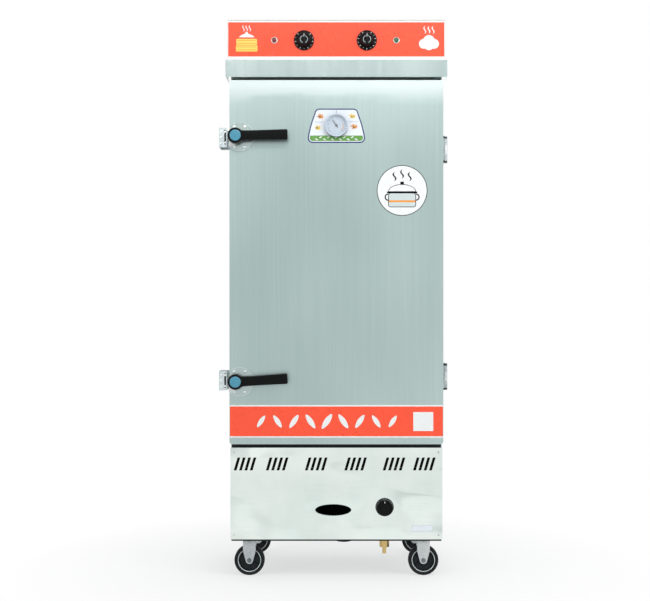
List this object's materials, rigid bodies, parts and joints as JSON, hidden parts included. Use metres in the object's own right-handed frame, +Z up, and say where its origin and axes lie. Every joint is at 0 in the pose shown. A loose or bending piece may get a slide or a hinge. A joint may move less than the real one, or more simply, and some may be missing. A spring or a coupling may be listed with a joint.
{
  "type": "rice steamer cabinet",
  "caption": "Tall insulated stainless steel steaming cabinet on casters: front door with lever latches and a thermometer, control box on top, gas and electric heat in the base.",
  "frame": {"origin": "on the floor, under the middle of the whole cabinet", "axes": "+Z up, the door faces -Y, +X is to the right as seen from the front"},
  "size_m": [0.7218, 0.6368, 1.768],
  "materials": {
    "brushed_steel": "fine vertical brushing, satin stainless steel",
    "bright_steel": "bright polished stainless steel",
    "inner_steel": "plain mill stainless steel",
    "zinc": "bright zinc plate on steel",
    "brass": "turned brass, slightly dulled",
    "cast_iron": "black cast iron",
    "red_panel": "satin orange-red film with a white edge",
    "black_plastic": "black moulded plastic, low sheen",
    "red_lens": "deep red clear plastic in a bright bezel",
    "green_lens": "green clear plastic in a bright bezel",
    "clear_glass": "clear flat glass",
    "needle_paint": "black painted pointer",
    "silicone": "pale grey silicone seal",
    "rubber": "dark grey moulded rubber",
    "wool": "mineral wool",
    "blue_plastic": "light blue moulded plastic cap",
    "printed_film": "printed plastic film, plain and patterned"
  },
  "bodies": {
    "root": {"outer_wrap": "brushed_steel", "back_panel": "brushed_steel", "base_floor": "brushed_steel", "front_frame": "brushed_steel", "control_box": "brushed_steel", "hood_fascia": "bright_steel", "skirt_panel": "bright_steel", "chamber_liner": "inner_steel", "water_tank": "inner_steel", "tray_rack_left": "inner_steel", "tray_rack_right": "inner_steel", "steam_tray_lower": "inner_steel", "steam_tray_middle": "inner_steel", "steam_tray_upper": "inner_steel", "heating_tube": "inner_steel", "flue_duct": "inner_steel", "steam_vent": "inner_steel", "hinge_body_leaf_upper": "zinc", "hinge_body_leaf_lower": "zinc", "latch_keeper_upper": "zinc", "latch_keeper_lower": "zinc", "front_fork_left": "zinc", "front_fork_right": "zinc", "rear_caster_plate_left": "zinc", "rear_caster_plate_right": "zinc", "thermostat": "zinc", "gas_tap": "brass", "gas_inlet": "brass", "gas_burner": "cast_iron", "control_panel": "red_panel", "timer": "black_plastic", "junction_box": "black_plastic", "lamp_red": "red_lens", "lamp_green": "green_lens", "lower_cable": "rubber", "body_insulation": "wool"},
    "door": {"door_outer_skin": "brushed_steel", "door_inner_skin": "inner_steel", "door_insulation": "wool", "door_gasket": "silicone", "hinge_door_leaf_upper": "zinc", "hinge_door_leaf_lower": "zinc", "thermometer_case": "bright_steel", "thermometer_lens": "clear_glass", "latch_plate_upper": "bright_steel", "latch_plate_lower": "bright_steel"},
    "latch_upper": {"latch_handle_upper": "black_plastic"},
    "latch_lower": {"latch_handle_lower": "black_plastic"},
    "needle": {"thermometer_needle": "needle_paint"},
    "thermostat_dial": {"thermostat_knob": "black_plastic"},
    "timer_dial": {"timer_knob": "black_plastic"},
    "gas_dial": {"gas_knob": "black_plastic"},
    "caster_rear_left": {"rear_fork_left": "zinc"},
    "caster_rear_right": {"rear_fork_right": "zinc"},
    "brake_left": {"brake_pedal_left": "black_plastic"},
    "brake_right": {"brake_pedal_right": "black_plastic"},
    "wheel_front_left": {"wheel_front_left": "rubber"},
    "wheel_front_right": {"wheel_front_right": "rubber"},
    "wheel_rear_left": {"wheel_rear_left": "rubber"},
    "wheel_rear_right": {"wheel_rear_right": "rubber"}
  },
  "joints": [
    {"name": "door_hinge", "type": "hinge", "parent": "root", "child": "door", "pos_m": [0.35415, -0.2516, 1], "axis": [0, 0, 1], "range_deg": [0, 170]},
    {"name": "latch_upper_turn", "type": "hinge", "parent": "door", "child": "latch_upper", "pos_m": [-0.30815, -0.2861, 1.4007], "axis": [0, 1, 0], "range_deg": [-45, 45]},
    {"name": "latch_lower_turn", "type": "hinge", "parent": "door", "child": "latch_lower", "pos_m": [-0.30815, -0.2861, 0.6273], "axis": [0, 1, 0], "range_deg": [-45, 45]},
    {"name": "needle_turn", "type": "hinge", "parent": "door", "child": "needle", "pos_m": [0.00885, -0.2801, 1.436], "axis": [0, 1, 0], "range_deg": [-100, 170]},
    {"name": "thermostat_turn", "type": "hinge", "parent": "root", "child": "thermostat_dial", "pos_m": [-0.09315, -0.2825, 1.704], "axis": [0, 1, 0], "range_deg": [0, 270]},
    {"name": "timer_turn", "type": "hinge", "parent": "root", "child": "timer_dial", "pos_m": [0.10485, -0.2825, 1.704], "axis": [0, 1, 0], "range_deg": [0, 300]},
    {"name": "gas_turn", "type": "hinge", "parent": "root", "child": "gas_dial", "pos_m": [0.16185, -0.2562, 0.228], "axis": [0, -1, 0], "range_deg": [0, 180]},
    {"name": "wheel_front_left_spin", "type": "hinge", "parent": "root", "child": "wheel_front_left", "pos_m": [-0.27115, -0.1766, 0.04876], "axis": [0, 1, 0], "continuous": true},
    {"name": "caster_rear_left_swivel", "type": "hinge", "parent": "root", "child": "caster_rear_left", "pos_m": [-0.24115, 0.2584, 0.1151], "axis": [0, 0, 1], "continuous": true},
    {"name": "wheel_rear_left_spin", "type": "hinge", "parent": "caster_rear_left", "child": "wheel_rear_left", "pos_m": [-0.27115, 0.2584, 0.04876], "axis": [0, 1, 0], "continuous": true},
    {"name": "brake_left_press", "type": "hinge", "parent": "caster_rear_left", "child": "brake_left", "pos_m": [-0.29315, 0.2584, 0.104], "axis": [0, -1, 0], "range_deg": [0, 12]},
    {"name": "wheel_front_right_spin", "type": "hinge", "parent": "root", "child": "wheel_front_right", "pos_m": [0.28885, -0.1766, 0.04876], "axis": [0, 1, 0], "continuous": true},
    {"name": "caster_rear_right_swivel", "type": "hinge", "parent": "root", "child": "caster_rear_right", "pos_m": [0.25885, 0.2584, 0.1151], "axis": [0, 0, 1], "continuous": true},
    {"name": "wheel_rear_right_spin", "type": "hinge", "parent": "caster_rear_right", "child": "wheel_rear_right", "pos_m": [0.28885, 0.2584, 0.04876], "axis": [0, 1, 0], "continuous": true},
    {"name": "brake_right_press", "type": "hinge", "parent": "caster_rear_right", "child": "brake_right", "pos_m": [0.31085, 0.2584, 0.104], "axis": [0, 1, 0], "range_deg": [0, 12]}
  ]
}
